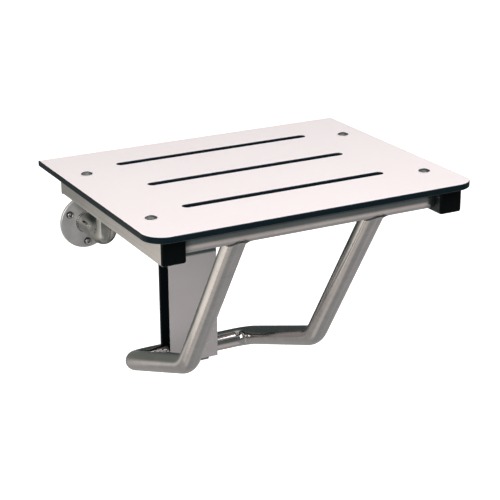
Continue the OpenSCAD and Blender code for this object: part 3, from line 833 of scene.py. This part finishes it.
def flange_screws():
    """Button heads with hexagon sockets, three on each flange and one of them at its bottom."""
    outline = [(0, -FLANGE_T), (SCREW_NECK_R, -FLANGE_T), (SCREW_NECK_R, 0),
               (FLANGE_HEAD_R - FLANGE_HEAD_RIM, 0), (FLANGE_HEAD_R, FLANGE_HEAD_RIM),
               (FLANGE_HEAD_R, FLANGE_HEAD_SIDE)]
    outline += button_outline() + [(0, FLANGE_HEAD_H)]
    screw = turned(outline)
    cut_socket(screw, FLANGE_HEAD_H, SOCKET_DEPTH)
    turns = [math.radians(360 * i / FLANGE_SCREWS - 90) for i in range(FLANGE_SCREWS)]
    places = [Vector((side * (arm_x + FLANGE_PCD_R * math.cos(turn)), -FLANGE_T,
                      FLANGE_PCD_R * math.sin(turn)))
              for side in (-1, 1) for turn in turns]
    screws = finish_piece(placed_copies(screw, places, (0, -1, 0)), "button_flange_screws",
                          polished, "wall_mount", ["flange_screws"])
    screws.data.materials.append(screw_shade_steel())
    # The steep faces and the sockets take the steel with painted shade
    for face in screws.data.polygons:
        face.material_index = int(abs(face.normal.y) < STEEP)
    return screws


# End caps

def select_edges(chosen):
    """In edit mode, selects the edges whose two ends a test takes."""
    bpy.ops.mesh.select_all(action="DESELECT")
    bpy.ops.mesh.select_mode(type="EDGE")
    bpy.ops.object.mode_set(mode="OBJECT")
    mesh = bpy.context.object.data
    for edge in mesh.edges:
        edge.select = chosen(*(mesh.vertices[i].co for i in edge.vertices))
    bpy.ops.object.mode_set(mode="EDIT")


def end_cap(name, node, body):
    """A square cap, its corners and front edges rounded, with the plug that holds it."""
    low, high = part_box(node)
    centre = Vector(((low.x + high.x) / 2, low.y + CAP_HEAD_T / 2, (low.z + high.z) / 2))
    deselect()
    bpy.ops.mesh.primitive_cube_add(size=1)
    cap = bpy.context.object
    cap.scale = (CAP_SIZE, CAP_HEAD_T, CAP_SIZE)
    apply_place(cap)
    bpy.ops.object.mode_set(mode="EDIT")
    select_edges(lambda a, b: abs(a.y - b.y) > CAP_HEAD_T / 2)
    bpy.ops.mesh.bevel(offset=CAP_CORNER_R, segments=CAP_BEVEL_SEGMENTS)
    select_edges(lambda a, b: max(a.y, b.y) < 0)
    bpy.ops.mesh.bevel(offset=CAP_EDGE_R, segments=CAP_BEVEL_SEGMENTS)
    bpy.ops.mesh.select_mode(type="VERT")
    bpy.ops.object.mode_set(mode="OBJECT")
    deselect()
    bpy.ops.mesh.primitive_cube_add(
        size=1, location=(0, (CAP_HEAD_T + CAP_INSERT_DEPTH) / 2 - CAP_EDGE_R / 2, 0),
        scale=(CAP_INSERT, CAP_INSERT_DEPTH, CAP_INSERT))
    plug = bpy.context.object
    apply_place(plug)
    cap.select_set(True)
    bpy.context.view_layer.objects.active = cap
    bpy.ops.object.join()
    cap.location = centre
    apply_place(cap)
    return finish_piece(cap, name, black_plastic, body, [node])


end_cap("left_end_cap", "end_cap_left", "seat")
end_cap("right_end_cap", "end_cap_right", "seat")
leg_tube("left_leg_tube", -1, "leg_tube_left")
leg_tube("right_leg_tube", 1, "leg_tube_right")
wall_arm("left_wall_arm", -1, "wall_arm_left")
wall_arm("right_wall_arm", 1, "wall_arm_right")
strut_axis = Vector((0, ELBOW_Y - bar_centre.y, ELBOW_Z - bar_centre.z))
for side_name, side in (("left", -1), ("right", 1)):
    saddle_weld(side_name + "_strut_weld", Vector((side * leg_x, bar_centre.y, bar_centre.z)),
                strut_axis, "leg", STRUT_WELD_LEG)
    saddle_weld(side_name + "_arm_weld",
                Vector((side * arm_x, pivot_centre.y, pivot_centre.z)), (0, 0, -1), "wall_mount",
                ARM_WELD_LEG)
    plate_weld(side_name + "_flange_weld", Vector((side * arm_x, -FLANGE_T, 0)), (0, -1, 0),
               "wall_mount", FLANGE_WELD_LEG)
seat_screws()
flange_screws()


# Studio

CAMERA_PLACE = Vector((-859.55, -1833.53, 672.28)) * MM
CAMERA_AZIMUTH = -27.988
CAMERA_ELEVATION = 20.198
CAMERA_ROLL = -0.333
CAMERA_LENS = 104.397
SENSOR_WIDTH = 36

# Floor and wall, in metres
FLOOR_HEIGHT = -0.9
FLOOR_SIZE = 60
WALL_PLACE = 0.04
WALL_WIDTH = 6
WALL_HEIGHT = 2.9
WALL_BRIGHT = rgb(1.10, 1.05, 1.0)
WALL_DARK = rgb(0.05, 0.065, 0.065)
WALL_DIM = rgb(0.15, 0.165, 0.15)
WALL_LOW = rgb(0.35, 0.345, 0.34)
WALL_POOL = rgb(0.60, 0.58, 0.57)

# The edge of the seat's shadow on the wall, which leans below the flanges
SHADOW_EDGE = -0.18
SHADOW_LEAN = 0.62
SHADOW_FADE = (-0.08, 0.06)
# Heights on the wall: the light's lower and upper fade, the light from below, the pool
LIT_LOW = (-0.2, 0.03)
LIT_LOW_SHARES = (1, 0.16)
LIT_TOP = (0.08, 0.14)
LOW_TOP = (-0.27, -0.19)
POOL_FOOT = (-0.31, -0.26)
POOL_TOP = (-0.24, -0.2)
# Places across the wall: the right edges of the pool and of the dim light
POOL_EDGE = (-0.17, -0.12)
DIM_EDGE = (-0.09, -0.03)

# Softboxes: name, azimuth and elevation in degrees, size in metres, and radiance
SEAT_MIDDLE = Vector((0, -0.2, 0))
BOX_DISTANCE = 2.0
SOFTBOXES = [
    ("key_box", 15, 66, 1.6, 4.3),
    ("left_box", -55, 14, 1.4, 3.2)]

# The room's light from straight below to straight above
ROOM_STOPS = [
    (0.00, rgb(0.34, 0.35, 0.36)),
    (0.12, rgb(0.36, 0.36, 0.37)),
    (0.24, rgb(0.35, 0.345, 0.345)),
    (0.30, rgb(0.29, 0.29, 0.29)),
    (0.37, rgb(0.15, 0.165, 0.165)),
    (0.46, rgb(0.12, 0.145, 0.15)),
    (0.66, rgb(0.10, 0.125, 0.13)),
    (0.80, rgb(0.34, 0.34, 0.35)),
    (1.00, rgb(0.5, 0.49, 0.5))]
# Patches of light: azimuth, elevation, degrees to its full and its faded edge, and colour
ROOM_PATCHES = [
    (-100, -56, 6, 18, rgb(0.62, 0.59, 0.56)),
    (35, -50, 6, 30, rgb(0.58, 0.55, 0.54)),
    (38, 45, 8, 13, rgb(1.35, 1.32, 1.42)),
    (150, 38, 24, 46, rgb(0.07, 0.09, 0.095))]


def direction(azimuth, elevation):
    """A direction, with azimuth 0 at the front and 90 on the right."""
    turn, rise = math.radians(azimuth), math.radians(elevation)
    return Vector((math.sin(turn) * math.cos(rise), -math.cos(turn) * math.cos(rise),
                   math.sin(rise)))


def set_camera():
    camera = bpy.data.objects.new("camera", bpy.data.cameras.new("camera"))
    bpy.context.scene.collection.objects.link(camera)
    camera.data.sensor_width = SENSOR_WIDTH
    camera.data.lens = CAMERA_LENS
    turn = (Matrix.Rotation(math.radians(CAMERA_AZIMUTH), 4, "Z")
            @ Matrix.Rotation(math.radians(90 - CAMERA_ELEVATION), 4, "X")
            @ Matrix.Rotation(math.radians(CAMERA_ROLL), 4, "Z"))
    camera.matrix_world = Matrix.Translation(CAMERA_PLACE) @ turn
    bpy.context.scene.camera = camera


def softbox(name, heading, size, radiance):
    """A square lamp that faces the seat from a heading, as bright as radiance says."""
    data = bpy.data.lights.new(name, "AREA")
    data.shape = "SQUARE"
    data.size = size
    data.energy = radiance * math.pi * size ** 2
    lamp = bpy.data.objects.new(name, data)
    bpy.context.scene.collection.objects.link(lamp)
    lamp.location = SEAT_MIDDLE + heading * BOX_DISTANCE
    lamp.rotation_euler = (-heading).to_track_quat("-Z", "Y").to_euler()
    lamp.visible_camera = False


def lay_floor():
    """A white floor that lights nothing, far below the seat."""
    deselect()
    bpy.ops.mesh.primitive_plane_add(size=FLOOR_SIZE, location=(0, 0, FLOOR_HEIGHT))
    floor = bpy.context.object
    floor.name = "floor"
    white = Finish("floor_white", Roughness=1.0, Base_Color=WHITE,
                   Emission_Color=WHITE, Emission_Strength=1.0)
    floor.data.materials.append(white.material)
    floor.visible_diffuse = floor.visible_glossy = floor.visible_shadow = False


def wall_light():
    """The light on the wall: dark in the seat's shadow, lit on the left outside it, with a
    glow from the floor and a small pool of light low down."""
    paint = Finish("wall_light", Base_Color=rgb(0, 0, 0), Emission_Strength=1.0)
    x = paint.along("X")
    z = paint.along("Z")
    outside = z.least(0.0) * SHADOW_LEAN + SHADOW_EDGE - x
    lit = (paint.between(outside, *SHADOW_FADE, smooth=True)
           * paint.between(z, *LIT_LOW, *LIT_LOW_SHARES) * paint.between(z, *LIT_TOP, 1, 0))
    low = paint.between(z, *LOW_TOP, 1, 0, smooth=True)
    pool = (paint.between(x, *POOL_EDGE, 1, 0) * paint.between(z, *POOL_FOOT, smooth=True)
            * paint.between(z, *POOL_TOP, 1, 0, smooth=True))
    unlit = paint.blend(paint.between(x, *DIM_EDGE, 1, 0), WALL_DARK, WALL_DIM)
    unlit = paint.blend(low, unlit, WALL_LOW)
    unlit = paint.blend(pool, unlit, WALL_POOL)
    return paint.surface(Emission_Color=paint.blend(lit, unlit, WALL_BRIGHT))


def hang_wall():
    """A wall behind the seat, which only its reflections show."""
    deselect()
    bpy.ops.mesh.primitive_plane_add(size=1, rotation=(math.pi / 2, 0, 0))
    wall = bpy.context.object
    wall.scale = (WALL_WIDTH, WALL_HEIGHT, 1)
    wall.location = (0, WALL_PLACE, FLOOR_HEIGHT + WALL_HEIGHT / 2)
    apply_place(wall)
    wall.name = "wall"
    wall.data.materials.append(wall_light())
    wall.visible_camera = wall.visible_diffuse = wall.visible_shadow = False


def set_world():
    """A studio with a grey floor and dark teal sides, which the camera sees as white."""
    world = bpy.data.worlds.new("studio")
    bpy.context.scene.world = world
    world.use_nodes = True
    studio = Nodes(world.node_tree)
    output = studio.tree.nodes["World Output"]
    heading = studio.node("ShaderNodeTexCoord", output="Generated")
    height = studio.part(heading, "Z")
    room = studio.node("ShaderNodeValToRGB", {"stops": ROOM_STOPS},
                       {0: studio.between(height, -1, 1)})
    for azimuth, elevation, full, faded, colour in ROOM_PATCHES:
        closeness = studio.node("ShaderNodeVectorMath", {"operation": "DOT_PRODUCT"},
                                {0: heading, 1: direction(azimuth, elevation)}, output="Value")
        mask = studio.between(closeness, math.cos(math.radians(faded)),
                              math.cos(math.radians(full)), smooth=True)
        room = studio.blend(mask, room, colour)
    lit = studio.node("ShaderNodeBackground", inputs={"Color": room})
    white = studio.node("ShaderNodeBackground", inputs={"Color": WHITE})
    seen = studio.node("ShaderNodeLightPath", output="Is Camera Ray")
    studio.feed(output.inputs["Surface"],
                studio.node("ShaderNodeMixShader", inputs={0: seen, 1: lit, 2: white}))


bpy.context.scene.view_settings.view_transform = "Standard"
set_camera()
set_world()
lay_floor()
hang_wall()
for name, azimuth, elevation, size, radiance in SOFTBOXES:
    softbox(name, direction(azimuth, elevation), size, radiance)
